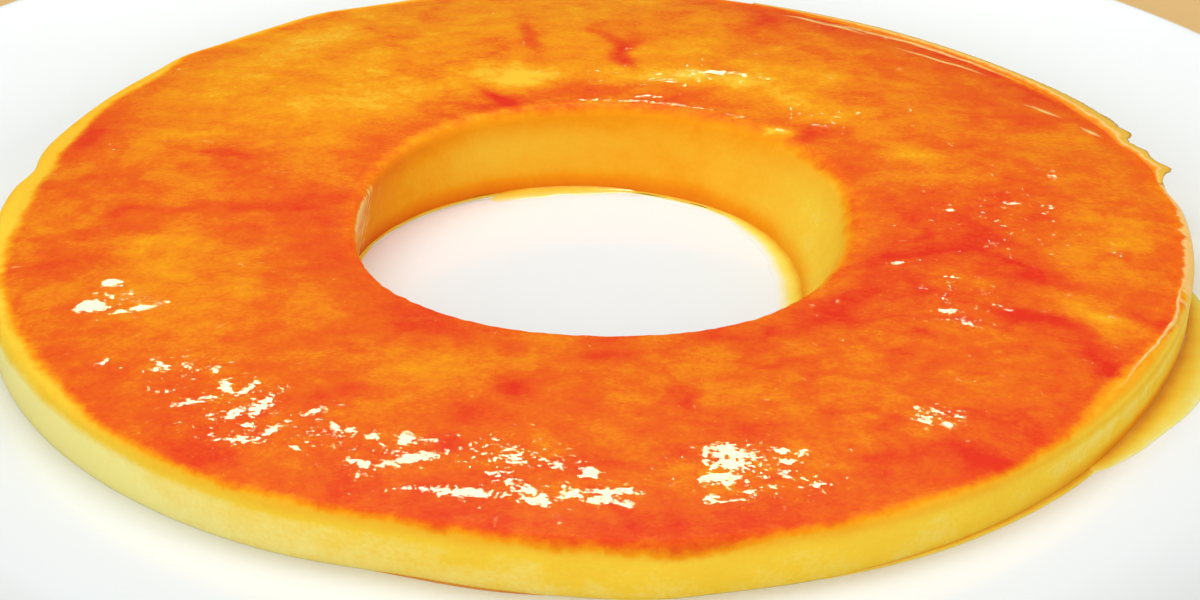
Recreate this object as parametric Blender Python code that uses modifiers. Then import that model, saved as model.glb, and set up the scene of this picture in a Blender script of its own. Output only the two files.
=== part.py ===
"""A ring-shaped leche flan, a set caramel custard, turned out on a round white serving plate.

The origin is the middle of the plate's foot, on the table, with +Z up and -Y towards the eater.
The plate is one turned solid. The custard is one soft ring that rests in its well, a little off centre:
its top is a low crown, highest near the hole, and its outlines are as uneven as a custard that has been
turned out of a pan. Sizes are in metres.
"""

import math

import bmesh
import bpy
from mathutils import Vector

# Plate
PLATE_RADIUS = 0.1780
PLATE_HEIGHT = 0.0165
PLATE_WALL = 0.0045
WELL_RADIUS = 0.138
WELL_TOP = 0.0070
RISE_POWER = 1.6
FOOT_OUTER_RADIUS = 0.112
FOOT_INNER_RADIUS = 0.106
FOOT_SLOPE = 0.0022
LIP_RADIUS = 0.0018
RISE_STEPS = 7
LIP_STEPS = 4
MIDDLE_HEIGHT = WELL_TOP - PLATE_WALL / 2.0

# Custard ring
CUSTARD_SHIFT = Vector((0.005, 0.010))
CUSTARD_GAP = 0.0003
OUTER_RADIUS = 0.1198
OUTER_LEAN = 0.0010
HOLE_RADIUS = 0.0497
HOLE_LEAN = 0.0028
HOLE_TOP_SHIFT = Vector((0.0032, 0.0))
HOLE_FOOT_SHIFT = Vector((-0.0038, -0.0031))
CROWN_HEIGHT = 0.0162
CROWN_RADIUS = 0.064
EDGE_HEIGHT = 0.0116
OUTER_SHOULDER = 0.0030
HOLE_SHOULDER = 0.0022
FOOT_ROUNDING = 0.0012
SHOULDER_STEPS = 4
FOOT_STEPS = 2
TOP_STEPS = 8
WALL_STEPS = 2

# How far each outline wanders from a true circle: (lobes round the ring, swing, a lobe's angle in degrees)
OUTER_WANDER = ((2, 0.0007, -108.0), (3, 0.0003, -25.0), (4, 0.0008, 87.0), (5, 0.0004, 45.0))
HOLE_WANDER = ((2, 0.0005, 124.0), (3, 0.0005, -107.0), (4, 0.0005, 166.0))
TOP_WANDER = ((1, 0.0003, 160.0), (3, 0.0003, 20.0))

TURN_STEPS = 88
MERGE = 0.00005


def empty_scene():
    """Removes every object, so that the file runs on its own."""
    for thing in list(bpy.data.objects):
        bpy.data.objects.remove(thing)


def make_collection(name):
    collection = bpy.data.collections.new(name)
    bpy.context.scene.collection.children.link(collection)
    return collection


def make_material(name, colour, roughness):
    material = bpy.data.materials.new(name)
    material.use_nodes = True
    shader = material.node_tree.nodes["Principled BSDF"]
    shader.inputs["Base Color"].default_value = (*colour, 1.0)
    shader.inputs["Roughness"].default_value = roughness
    shader.inputs["Metallic"].default_value = 0.0
    return material


def arc(centre_r, centre_z, radius, start, end, steps):
    """Points along an arc in the turning plane, angles in degrees, both ends included."""
    points = []
    for i in range(steps + 1):
        angle = math.radians(start + (end - start) * i / steps)
        points.append((centre_r + radius * math.cos(angle), centre_z + radius * math.sin(angle)))
    return points


def profile_mesh(name, points, closed):
    """A line of vertices in the XZ plane, in the order in which the Screw modifier turns them."""
    shape = bmesh.new()
    line = [shape.verts.new((r, 0.0, z)) for r, z in points]
    for a, b in zip(line, line[1:]):
        shape.edges.new((a, b))
    if closed:
        shape.edges.new((line[-1], line[0]))
    mesh = bpy.data.meshes.new(name)
    shape.to_mesh(mesh)
    shape.free()
    return mesh


def turned(name, points, closed, collection):
    """The profile turned once round the Z axis."""
    piece = bpy.data.objects.new(name, profile_mesh(name, points, closed))
    collection.objects.link(piece)
    screw = piece.modifiers.new("turn", "SCREW")
    screw.axis = "Z"
    screw.angle = math.tau
    screw.steps = TURN_STEPS
    screw.render_steps = TURN_STEPS
    screw.use_merge_vertices = True
    screw.merge_threshold = MERGE
    return piece


def finish_surface(piece, material):
    piece.data.materials.append(material)
    piece.data.shade_smooth()
    piece.data.set_sharp_from_angle(angle=math.radians(40.0))


def rise_point(share, side):
    """A point of the plate's rising edge, at a share of the way from the well to the lip.

    The edge is a wall round a curved middle line. The side is 1 for its upper face and -1 for its under face.
    """
    span = PLATE_RADIUS - LIP_RADIUS - WELL_RADIUS
    rise = PLATE_HEIGHT - LIP_RADIUS - MIDDLE_HEIGHT
    slope = math.atan(RISE_POWER * rise / span * share ** (RISE_POWER - 1.0))
    half_wall = PLATE_WALL / 2.0 + (LIP_RADIUS - PLATE_WALL / 2.0) * share
    r = WELL_RADIUS + span * share - side * half_wall * math.sin(slope)
    z = MIDDLE_HEIGHT + rise * share**RISE_POWER + side * half_wall * math.cos(slope)
    return (r, z), math.degrees(slope)


def plate_profile():
    """Half of the plate's section, from the middle of the well over the lip to the middle underneath."""
    shares = [i / RISE_STEPS for i in range(RISE_STEPS)]
    upper = [rise_point(share, 1.0)[0] for share in shares]
    under = [rise_point(share, -1.0)[0] for share in shares]
    tilt = rise_point(1.0, 1.0)[1]
    lip_r = PLATE_RADIUS - LIP_RADIUS
    lip_z = PLATE_HEIGHT - LIP_RADIUS
    lip = arc(lip_r, lip_z, LIP_RADIUS, 90.0 + tilt, tilt - 90.0, LIP_STEPS)
    floor_z = WELL_TOP - PLATE_WALL
    foot = [
        (FOOT_OUTER_RADIUS + FOOT_SLOPE, floor_z),
        (FOOT_OUTER_RADIUS, 0.0),
        (FOOT_INNER_RADIUS, 0.0),
        (FOOT_INNER_RADIUS - FOOT_SLOPE, floor_z),
        (0.0, floor_z),
    ]
    return [(0.0, WELL_TOP)] + upper + lip + under[::-1] + foot


def make_plate(collection):
    plate = turned("plate", plate_profile(), False, collection)
    finish_surface(plate, make_material("white_glaze", (0.88, 0.89, 0.88), 0.18))
    return plate


def wander(lobes, angle):
    return sum(swing * math.cos(count * angle - math.radians(at)) for count, swing, at in lobes)


def crown(radius):
    """Height of the custard's top above its base at a radius of the true ring, before it is made uneven."""
    reach = (radius - CROWN_RADIUS) / (OUTER_RADIUS - CROWN_RADIUS)
    fall = reach * reach if reach > 0.0 else 0.4 * reach * reach
    return CROWN_HEIGHT - (CROWN_HEIGHT - EDGE_HEIGHT) * fall


def custard_profile():
    """The true ring's closed section: over the top, down the side, back under the base and up the hole."""
    inner = HOLE_RADIUS + HOLE_SHOULDER
    outer = OUTER_RADIUS - OUTER_SHOULDER
    top = [
        (r, crown(r))
        for r in (inner + (outer - inner) * i / TOP_STEPS for i in range(1, TOP_STEPS))
    ]
    wall_top = crown(outer) - OUTER_SHOULDER
    hole_top = crown(inner) - HOLE_SHOULDER
    side = [
        (OUTER_RADIUS, FOOT_ROUNDING + (wall_top - FOOT_ROUNDING) * (1.0 - i / (WALL_STEPS + 1)))
        for i in range(1, WALL_STEPS + 1)
    ]
    hole_side = [
        (HOLE_RADIUS, FOOT_ROUNDING + (hole_top - FOOT_ROUNDING) * i / (WALL_STEPS + 1))
        for i in range(1, WALL_STEPS + 1)
    ]
    return (
        top
        + arc(outer, wall_top, OUTER_SHOULDER, 84.0, 0.0, SHOULDER_STEPS)
        + side
        + arc(OUTER_RADIUS - FOOT_ROUNDING, FOOT_ROUNDING, FOOT_ROUNDING, 0.0, -90.0, FOOT_STEPS)
        + arc(HOLE_RADIUS + FOOT_ROUNDING, FOOT_ROUNDING, FOOT_ROUNDING, -90.0, -180.0, FOOT_STEPS)
        + hole_side
        + arc(inner, hole_top, HOLE_SHOULDER, 180.0, 96.0, SHOULDER_STEPS)
    )


def settle(point):
    """Moves a point of the true ring to where the soft, uneven custard has it."""
    flat = Vector((point.x, point.y))
    radius = flat.length
    angle = math.atan2(point.y, point.x)
    across = (radius - HOLE_RADIUS) / (OUTER_RADIUS - HOLE_RADIUS)
    near_hole = (1.0 - across) ** 2
    near_edge = across**2
    up = min(1.0, max(0.0, point.z / crown(radius)))
    radius += near_edge * (wander(OUTER_WANDER, angle) - OUTER_LEAN * (1.0 - up))
    radius += near_hole * (wander(HOLE_WANDER, angle) - HOLE_LEAN * (1.0 - up))
    shift = near_hole * (HOLE_TOP_SHIFT * up + HOLE_FOOT_SHIFT * (1.0 - up))
    x = radius * math.cos(angle) + shift.x + CUSTARD_SHIFT.x
    y = radius * math.sin(angle) + shift.y + CUSTARD_SHIFT.y
    z = point.z + up * wander(TOP_WANDER, angle) + WELL_TOP + CUSTARD_GAP
    return Vector((x, y, z))


def make_custard(collection):
    """The turned ring is made a mesh of its own, and then each of its points is settled."""
    ring = turned("custard_ring", custard_profile(), True, collection)
    depsgraph = bpy.context.evaluated_depsgraph_get()
    mesh = bpy.data.meshes.new_from_object(ring.evaluated_get(depsgraph))
    bpy.data.objects.remove(ring)
    mesh.name = "custard"
    for vertex in mesh.vertices:
        vertex.co = settle(vertex.co)
    custard = bpy.data.objects.new("custard", mesh)
    collection.objects.link(custard)
    finish_surface(custard, make_material("caramel_custard", (0.90, 0.42, 0.05), 0.25))
    return custard


def main():
    empty_scene()
    collection = make_collection("leche_flan")
    make_plate(collection)
    make_custard(collection)


main()
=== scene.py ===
"""Leche flan: a ring of caramel custard turned out on a round white plate.

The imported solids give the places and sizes. This file gives every surface its shape and finish, and it is
laid out as an add-on: settings, one operator for each piece, one panel, and a main function that runs them.
Lengths are in metres. Angles round the ring start at +X and run anticlockwise seen from above.
"""

import math

import bmesh
import bpy
from bpy.props import FloatProperty, FloatVectorProperty, IntProperty, PointerProperty
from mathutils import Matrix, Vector, noise


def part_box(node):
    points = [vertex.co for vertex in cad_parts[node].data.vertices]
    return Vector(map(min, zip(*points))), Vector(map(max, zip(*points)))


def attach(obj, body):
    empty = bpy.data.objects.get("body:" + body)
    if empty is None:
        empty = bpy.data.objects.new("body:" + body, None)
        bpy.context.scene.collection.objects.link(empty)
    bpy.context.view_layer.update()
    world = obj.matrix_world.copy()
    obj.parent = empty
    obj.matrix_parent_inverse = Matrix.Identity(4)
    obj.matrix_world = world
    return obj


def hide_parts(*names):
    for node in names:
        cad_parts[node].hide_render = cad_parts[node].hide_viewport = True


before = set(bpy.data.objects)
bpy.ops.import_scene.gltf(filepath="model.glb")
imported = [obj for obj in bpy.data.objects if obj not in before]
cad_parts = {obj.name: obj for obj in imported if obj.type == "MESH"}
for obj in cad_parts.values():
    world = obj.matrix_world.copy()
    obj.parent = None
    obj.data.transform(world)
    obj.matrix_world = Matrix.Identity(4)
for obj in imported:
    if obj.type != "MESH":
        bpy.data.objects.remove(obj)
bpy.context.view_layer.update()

bl_info = {
    "name": "Leche flan on a plate",
    "version": (1, 0, 0),
    "blender": (4, 5, 0),
    "location": "3D View > Sidebar > Flan",
    "description": "Models a turned-out ring of caramel custard, its sauce and its plate",
    "category": "Add Mesh",
}

MM = 0.001
PLATE_LOW, PLATE_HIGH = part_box("plate")
CUSTARD_LOW, CUSTARD_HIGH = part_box("custard")

# ---------------------------------------------------------------------------------------------------------
# Settings
# ---------------------------------------------------------------------------------------------------------


def length(name, description, default):
    """A length that the sidebar shows with its unit."""
    return FloatProperty(name=name, description=description, default=default, unit="LENGTH", precision=5)


def colour(name, description, default):
    """A colour, in linear light."""
    return FloatVectorProperty(
        name=name, description=description, default=default, subtype="COLOR", size=3, min=0.0, max=1.0
    )


def amount(name, description, default):
    """A plain share or strength."""
    return FloatProperty(name=name, description=description, default=default, min=0.0)


def turn(name, description, default):
    """An angle, stored in radians."""
    return FloatProperty(name=name, description=description, default=math.radians(default), subtype="ANGLE")


class PlateSettings(bpy.types.PropertyGroup):
    rim_radius: length("Rim radius", "From the plate's axis to its outermost edge", PLATE_HIGH.x)
    height: length("Height", "From the table to the top of the rim", PLATE_HIGH.z)
    well_radius: length("Well radius", "How far the flat middle reaches", 138 * MM)
    well_height: length("Well height", "From the table to the top of the well", 7 * MM)
    wall: length("Wall", "Thickness of the plate's wall", 4.5 * MM)
    lip_radius: length("Lip radius", "Rounding of the rim's edge", 1.8 * MM)
    foot_outer: length("Foot, outside", "Outer radius of the foot ring", 112 * MM)
    foot_inner: length("Foot, inside", "Inner radius of the foot ring", 106 * MM)
    steps: IntProperty(name="Steps", description="Steps round the plate", default=256, min=24)
    glaze: colour("Glaze", "Colour of the white glaze", (0.870, 0.893, 0.890))
    bare_clay: colour("Bare clay", "Colour of the unglazed foot", (0.62, 0.58, 0.50))


class CustardSettings(bpy.types.PropertyGroup):
    centre_x: length("Shift to the right", "How far right of the plate's axis the ring lies", 5 * MM)
    centre_y: length("Shift back", "How far behind the plate's axis the ring lies", 10 * MM)
    outer_radius: length("Outer radius", "Mean outer radius of the top", 119.8 * MM)
    hole_radius: length("Hole radius", "Mean radius of the hole at the top", 49.7 * MM)
    crown_height: length("Crown height", "Height of the top's highest circle", 16.2 * MM)
    crown_radius: length("Crown radius", "Radius of the top's highest circle", 64 * MM)
    edge_height: length("Edge height", "Height of the top at the outer edge", 11.6 * MM)
    shoulder: length("Shoulder", "Rounding of the outer edge", 3 * MM)
    hole_shoulder: length("Hole shoulder", "Rounding of the hole's edge", 2.2 * MM)
    foot_rounding: length("Foot rounding", "Rounding where the custard meets the plate", 0.2 * MM)
    steps: IntProperty(name="Steps", description="Steps round the ring", default=800, min=60)
    swell: length("Swell", "Height of the top's slow waves", 0.24 * MM)
    ripple: length("Ripple", "Height of the top's small waves", 0.03 * MM)
    wrinkle: length("Wrinkle", "Depth of the finest wrinkles in the syrup", 0.06 * MM)
    tatter: amount("Tatter", "How ragged the syrup's facets are, in millimetres", 0.95)
    calm_gloss: amount("Calm gloss", "Share of the full gloss where the syrup lies flat", 0.45)
    pale: colour("Pale custard", "Custard where hardly any caramel has soaked in", (0.97, 0.84, 0.29))
    yellow: colour("Yellow custard", "Custard of the sides", (0.955, 0.625, 0.046))
    amber: colour("Amber", "Thin caramel", (0.925, 0.335, 0.008))
    orange: colour("Orange", "Caramel of middling depth", (0.845, 0.143, 0.009))
    red: colour("Red", "Deep caramel", (0.81, 0.077, 0.011))
    deep: colour("Deep red", "The darkest caramel", (0.775, 0.034, 0.011))
    # Cream is also the colour of the painted highlights on the edge ridges and on the torn skin's crease.
    cream: colour("Cream", "Thin skin that light comes through", (0.93, 0.59, 0.19))
    # Ochre is darkened by painted shade, and the dark ochre below it is painted shade at the torn skin's
    # outermost edge.
    ochre: colour("Ochre", "Torn skin of caramel", (0.83, 0.47, 0.055))
    ochre_edge_painted_shade: colour("Dark ochre", "The torn skin's outermost edge", (0.56, 0.30, 0.04))


class SauceSettings(bpy.types.PropertyGroup):
    climb: length("Climb", "How far the sauce climbs the custard's foot", 0.9 * MM)
    deepest: colour("Deepest sauce", "Sauce right against the custard's foot", (0.70, 0.235, 0.014))
    full: colour("Full sauce", "Sauce where a pool is deep", (0.87, 0.37, 0.016))
    middling: colour("Middling sauce", "Sauce of half its depth", (0.93, 0.63, 0.050))
    thin: colour("Thin sauce", "Sauce spread thin", (0.91, 0.76, 0.15))
    clear: colour("Clear sauce", "Sauce so thin that the plate shows through", (0.870, 0.893, 0.890))


class StageSettings(bpy.types.PropertyGroup):
    floor_size: length("Floor size", "Side of the square floor", 9.0)
    floor: colour("Floor", "Colour of the floor", (0.70, 0.425, 0.142))
    camera_distance: length("Camera distance", "From the ring's middle to the camera", 0.96)
    camera_elevation: turn("Camera elevation", "Angle of the camera above the table", 27.6)
    lens: FloatProperty(name="Lens", description="Focal length in millimetres", default=144.5)
    soft_power: amount("Soft light", "Power of the overhead soft light, in watts", 11.8)
    fill_power: amount("Front light", "Power of the soft light on the eater's side, in watts", 7.2)
    window_power: amount("Window light", "Power of the bright window behind, in watts", 33.0)
    room: amount("Room", "Brightness of the room on the eater's side", 0.54)
    shade: amount("Shade", "Brightness of the room behind", 0.06)


# ---------------------------------------------------------------------------------------------------------
# Small helpers
# ---------------------------------------------------------------------------------------------------------


def smooth(low, high, value):
    """0 below low, 1 above high and an even curve between them."""
    share = min(1.0, max(0.0, (value - low) / (high - low)))
    return share * share * (3.0 - 2.0 * share)


def blend(a, b, share):
    return a + (b - a) * share


def hump(distance):
    """1 at nought, falling to about 0 at 2 widths."""
    return math.exp(-distance * distance)


def turn_between(a, b):
    """The angle from b to a in degrees, between -180 and 180."""
    return (a - b + 180.0) % 360.0 - 180.0


def arc(centre_r, centre_z, radius, start, end, steps):
    """Points along an arc in the turning plane, angles in degrees, both ends included."""
    points = []
    for i in range(steps + 1):
        angle = math.radians(start + (end - start) * i / steps)
        points.append((centre_r + radius * math.cos(angle), centre_z + radius * math.sin(angle)))
    return points


def spin_profile(points, closed, steps):
    """A bmesh of the profile turned once round the Z axis."""
    shape = bmesh.new()
    line = [shape.verts.new((r, 0.0, z)) for r, z in points]
    edges = [shape.edges.new(pair) for pair in zip(line, line[1:])]
    if closed:
        edges.append(shape.edges.new((line[-1], line[0])))
    bmesh.ops.spin(
        shape,
        geom=line + edges,
        cent=(0.0, 0.0, 0.0),
        axis=(0.0, 0.0, 1.0),
        dvec=(0.0, 0.0, 0.0),
        angle=math.tau,
        steps=steps,
        use_merge=True,
    )
    bmesh.ops.remove_doubles(shape, verts=shape.verts, dist=1e-6)
    bmesh.ops.recalc_face_normals(shape, faces=shape.faces)
    return shape


def add_piece(shape, name, material, smooth_angle=180.0):
    """Makes the bmesh a piece of the flan that rides on its one body."""
    mesh = bpy.data.meshes.new(name)
    shape.to_mesh(mesh)
    shape.free()
    mesh.shade_smooth()
    if smooth_angle < 180.0:
        mesh.set_sharp_from_angle(angle=math.radians(smooth_angle))
    mesh.materials.append(material)
    piece = bpy.data.objects.new(name, mesh)
    bpy.context.scene.collection.objects.link(piece)
    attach(piece, "root")
    return piece


class NodeBench:
    """Adds nodes to one material and joins them up."""

    def __init__(self, name):
        self.material = bpy.data.materials.new(name)
        self.material.use_nodes = True
        self.tree = self.material.node_tree
        self.shader = self.tree.nodes["Principled BSDF"]
        self.place = None

    def add(self, kind, **values):
        node = self.tree.nodes.new(kind)
        for key, value in values.items():
            setattr(node, key, value)
        return node

    def join(self, source, target):
        self.tree.links.new(source, target)

    def feed(self, socket, value):
        if isinstance(value, bpy.types.NodeSocket):
            self.join(value, socket)
        else:
            socket.default_value = value

    def maths(self, operation, first, second=0.0, clamp=False):
        node = self.add("ShaderNodeMath", operation=operation, use_clamp=clamp)
        self.feed(node.inputs[0], first)
        self.feed(node.inputs[1], second)
        return node.outputs[0]

    def attribute(self, name):
        return self.add("ShaderNodeAttribute", attribute_name=name).outputs["Fac"]

    def coordinates(self, scale, angle=0.0):
        """The piece's own coordinates, stretched and turned about +Z."""
        if self.place is None:
            self.place = self.add("ShaderNodeTexCoord").outputs["Object"]
        mapping = self.add("ShaderNodeMapping")
        mapping.inputs["Scale"].default_value = scale
        mapping.inputs["Rotation"].default_value = (0.0, 0.0, math.radians(angle))
        self.join(self.place, mapping.inputs["Vector"])
        return mapping.outputs["Vector"]

    def noise(self, vector, per_metre, detail=3.0, roughness=0.5, distortion=0.0):
        node = self.add("ShaderNodeTexNoise")
        self.join(vector, node.inputs["Vector"])
        node.inputs["Scale"].default_value = per_metre
        node.inputs["Detail"].default_value = detail
        node.inputs["Roughness"].default_value = roughness
        node.inputs["Distortion"].default_value = distortion
        return node.outputs["Fac"]

    def spread(self, value, low, high):
        """Takes a noise from about 0.3..0.7 to low..high."""
        node = self.add("ShaderNodeMapRange")
        self.feed(node.inputs["Value"], value)
        node.inputs["From Min"].default_value = 0.3
        node.inputs["From Max"].default_value = 0.7
        node.inputs["To Min"].default_value = low
        node.inputs["To Max"].default_value = high
        return node.outputs["Result"]

    def ramp(self, value, stops):
        node = self.add("ShaderNodeValToRGB")
        self.feed(node.inputs["Fac"], value)
        elements = node.color_ramp.elements
        while len(elements) < len(stops):
            elements.new(0.5)
        for element, (position, shade) in zip(elements, stops):
            element.position = position
            element.color = (*shade, 1.0)
        return node.outputs["Color"]

    def fade(self, value, start, end, low=0.0, high=1.0):
        """An even curve from low at start to high at end."""
        node = self.add("ShaderNodeMapRange", interpolation_type="SMOOTHSTEP")
        self.feed(node.inputs["Value"], value)
        node.inputs["From Min"].default_value = start
        node.inputs["From Max"].default_value = end
        node.inputs["To Min"].default_value = low
        node.inputs["To Max"].default_value = high
        return node.outputs["Result"]

    def mix(self, factor, first, second):
        """One colour blended with another."""
        node = self.add("ShaderNodeMix", data_type="RGBA")
        self.feed(node.inputs["Factor"], factor)
        for socket, value in ((node.inputs["A"], first), (node.inputs["B"], second)):
            self.feed(socket, value if isinstance(value, bpy.types.NodeSocket) else (*value, 1.0))
        return node.outputs["Result"]

    def around(self, centre_x, centre_y, ring):
        """Coordinates that run round a centre: X is the way along a circle of that radius, Y the radius."""
        if self.place is None:
            self.place = self.add("ShaderNodeTexCoord").outputs["Object"]
        apart = self.add("ShaderNodeSeparateXYZ")
        self.join(self.place, apart.inputs[0])
        x = self.maths("SUBTRACT", apart.outputs["X"], centre_x)
        y = self.maths("SUBTRACT", apart.outputs["Y"], centre_y)
        along = self.maths("MULTIPLY", self.maths("ARCTAN2", y, x), ring)
        squares = self.maths("ADD", self.maths("MULTIPLY", x, x), self.maths("MULTIPLY", y, y))
        radius = self.maths("SQRT", squares)
        together = self.add("ShaderNodeCombineXYZ")
        self.join(along, together.inputs["X"])
        self.join(radius, together.inputs["Y"])
        return together.outputs["Vector"]

    def stroke(self, vector, x, y, half_length, half_width, lean):
        """A long spot: 1 in the middle and 0 at its edge."""
        mapping = self.add("ShaderNodeMapping", vector_type="TEXTURE")
        mapping.inputs["Location"].default_value = (x, y, 0.0)
        mapping.inputs["Rotation"].default_value = (0.0, 0.0, math.radians(lean))
        mapping.inputs["Scale"].default_value = (half_length, half_width, 1.0)
        self.join(vector, mapping.inputs["Vector"])
        reach = self.add("ShaderNodeVectorMath", operation="LENGTH")
        self.join(mapping.outputs["Vector"], reach.inputs[0])
        return self.fade(reach.outputs["Value"], 1.0, 0.3)

    def bump(self, height, strength, distance, normal=None):
        node = self.add("ShaderNodeBump")
        node.inputs["Strength"].default_value = strength
        node.inputs["Distance"].default_value = distance
        self.feed(node.inputs["Height"], height)
        if normal is not None:
            self.join(normal, node.inputs["Normal"])
        return node.outputs["Normal"]

    def ragged_facets(self, tatter):
        """The "facet" layer with torn and speckled edges: above nought inside a facet."""
        streaked = self.coordinates((0.75, 1.0, 1.0))
        tears = self.spread(self.noise(streaked, 600.0, detail=4.0, roughness=0.7), -tatter, tatter)
        specks = self.spread(self.noise(streaked, 1350.0, detail=2.0), -0.85 * tatter, 0.85 * tatter)
        return self.maths("ADD", self.attribute("facet"), self.maths("ADD", tears, specks))

    def facets(self, normal, share):
        """The normal, turned towards the mirrored window where the share is 1."""
        apart = self.add("ShaderNodeSeparateXYZ")
        self.join(self.place, apart.inputs[0])
        slope = self.maths("MULTIPLY_ADD", apart.outputs["Y"], -MIRROR_RISE)
        slope.node.inputs[2].default_value = -MIRROR_SLOPE
        lean = self.add("ShaderNodeCombineXYZ")
        self.join(slope, lean.inputs["Y"])
        lean.inputs["Z"].default_value = 1.0
        turned = self.add("ShaderNodeVectorTransform", vector_type="NORMAL")
        turned.convert_from = "OBJECT"
        turned.convert_to = "WORLD"
        self.join(lean.outputs["Vector"], turned.inputs["Vector"])
        node = self.add("ShaderNodeMix", data_type="VECTOR")
        self.feed(node.inputs["Factor"], share)
        self.feed(node.inputs["A"], normal)
        self.feed(node.inputs["B"], turned.outputs["Vector"])
        level = self.add("ShaderNodeVectorMath", operation="NORMALIZE")
        self.join(node.outputs["Result"], level.inputs[0])
        return level.outputs["Vector"]

    def set(self, **values):
        """Sets the shader's own sockets; a name's underscores stand for spaces."""
        for key, value in values.items():
            self.feed(self.shader.inputs[key.replace("_", " ")], value)


# ---------------------------------------------------------------------------------------------------------
# Plate
# ---------------------------------------------------------------------------------------------------------

RISE_POWER = 1.6
RISE_STEPS = 28
LIP_STEPS = 12


def rise_point(s, share, side):
    """A point of the plate's rising edge, and its slope in degrees; side is 1 above and -1 underneath."""
    span = s.rim_radius - s.lip_radius - s.well_radius
    middle = s.well_height - s.wall / 2.0
    rise = s.height - s.lip_radius - middle
    slope = math.atan(RISE_POWER * rise / span * share ** (RISE_POWER - 1.0))
    half_wall = blend(s.wall / 2.0, s.lip_radius, share)
    r = s.well_radius + span * share - side * half_wall * math.sin(slope)
    z = middle + rise * share**RISE_POWER + side * half_wall * math.cos(slope)
    return (r, z), math.degrees(slope)


def plate_section(s):
    """Half of the plate's section, from the middle of the well round the rim to the middle underneath."""
    shares = [i / RISE_STEPS for i in range(RISE_STEPS)]
    well = [(s.well_radius * i / 6.0, s.well_height) for i in range(6)]
    upper = [rise_point(s, share, 1.0)[0] for share in shares]
    under = [rise_point(s, share, -1.0)[0] for share in shares]
    tilt = rise_point(s, 1.0, 1.0)[1]
    lip_r = s.rim_radius - s.lip_radius
    lip = arc(lip_r, s.height - s.lip_radius, s.lip_radius, 90.0 + tilt, tilt - 90.0, LIP_STEPS)
    ceiling = s.well_height - s.wall
    edge = 0.5 * MM
    foot = [
        (s.foot_outer + 3 * MM, ceiling),
        (s.foot_outer + 1.2 * MM, ceiling - 0.4 * MM),
        (s.foot_outer, edge),
        (s.foot_outer - edge, 0.0),
        (s.foot_inner + edge, 0.0),
        (s.foot_inner, edge),
        (s.foot_inner - 1.2 * MM, ceiling - 0.4 * MM),
        (s.foot_inner - 3 * MM, ceiling),
        (s.foot_inner / 2.0, ceiling),
        (0.0, ceiling),
    ]
    return well + upper + lip + under[::-1] + foot


def glaze_material(s):
    """White glaze: faintly uneven in shade, glassy on top, with a dry ring where the foot is bare."""
    bench = NodeBench("white_glaze")
    even = bench.coordinates((1.0, 1.0, 1.0))
    cloud = bench.spread(bench.noise(even, 14.0, detail=2.0), 0.0, 1.0)
    warm = tuple(c * k for c, k in zip(s.glaze, (1.0, 0.995, 0.965)))
    shade = bench.ramp(cloud, ((0.0, warm), (1.0, tuple(s.glaze))))
    height = bench.add("ShaderNodeSeparateXYZ")
    bench.join(bench.place, height.inputs[0])
    bare = bench.maths("LESS_THAN", height.outputs["Z"], 0.45 * MM)
    bench.set(Base_Color=bench.mix(bare, shade, tuple(s.bare_clay)), Metallic=0.0, IOR=1.5)
    fine = bench.noise(even, 420.0, detail=2.0)
    rough = bench.maths("ADD", bench.spread(fine, 0.10, 0.16), bench.maths("MULTIPLY", bare, 0.6))
    bench.set(Roughness=rough)
    wave = bench.noise(even, 60.0, detail=1.0)
    bench.set(Normal=bench.bump(wave, 0.15, 0.2 * MM), Specular_IOR_Level=0.35)
    return bench.material


class FLAN_OT_plate(bpy.types.Operator):
    """Makes the round white plate with its flat well, its rising edge and its foot ring"""

    bl_idname = "flan.plate"
    bl_label = "Plate"

    def execute(self, context):
        s = context.scene.flan_plate
        shape = spin_profile(plate_section(s), False, s.steps)
        plate = add_piece(shape, "serving_plate", glaze_material(s), smooth_angle=50.0)
        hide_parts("plate")
        return {"FINISHED"}


# ---------------------------------------------------------------------------------------------------------
# Custard
# ---------------------------------------------------------------------------------------------------------

# How far each outline wanders from a circle: (lobes round the ring, swing in metres, angle of a lobe)
OUTER_WANDER = ((2, 0.7 * MM, -108.0), (3, 0.3 * MM, -25.0), (4, 0.8 * MM, 87.0), (5, 0.4 * MM, 45.0))
HOLE_WANDER = ((2, 0.5 * MM, 124.0), (3, 0.5 * MM, -107.0), (4, 0.5 * MM, 166.0))
TOP_WANDER = ((1, 0.3 * MM, 160.0), (3, 0.3 * MM, 20.0))
HOLE_FRAY = 0.5 * MM
HOLE_LEFT_BULGE = 1.0 * MM
OUTER_LEAN = 1.0 * MM
HOLE_LEAN = 2.8 * MM
HOLE_TOP_SHIFT = Vector((3.2 * MM, 0.0))
HOLE_FOOT_SHIFT = Vector((-3.8 * MM, -3.1 * MM))

# Dents in the outer wall: (angle, half width in degrees, depth in metres)
WALL_DENTS = (
    (-108.0, 8.0, 1.6 * MM),
    (-85.0, 5.0, -1.2 * MM),
    (52.0, 16.0, 0.8 * MM),
    (165.0, 3.0, 1.6 * MM),
    (119.0, 4.0, -1.0 * MM),
    (136.0, 3.0, -1.0 * MM),
    (20.5, 2.0, 1.2 * MM),
    (10.0, 2.5, 1.0 * MM),
)


def wander(lobes, angle):
    return sum(swing * math.cos(count * angle - math.radians(at)) for count, swing, at in lobes)


def crown(s, radius):
    """Height of the top above the ring's foot."""
    reach = (radius - s.crown_radius) / (s.outer_radius - s.crown_radius)
    fall = reach * reach if reach > 0.0 else 0.4 * reach * reach
    return s.crown_height - (s.crown_height - s.edge_height) * fall


def crown_slope(s, radius):
    """How steeply the top falls away outwards at a radius outside its highest circle."""
    return 2.0 * (s.crown_height - s.edge_height) * (radius - s.crown_radius) / (
        s.outer_radius - s.crown_radius
    ) ** 2


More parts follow.
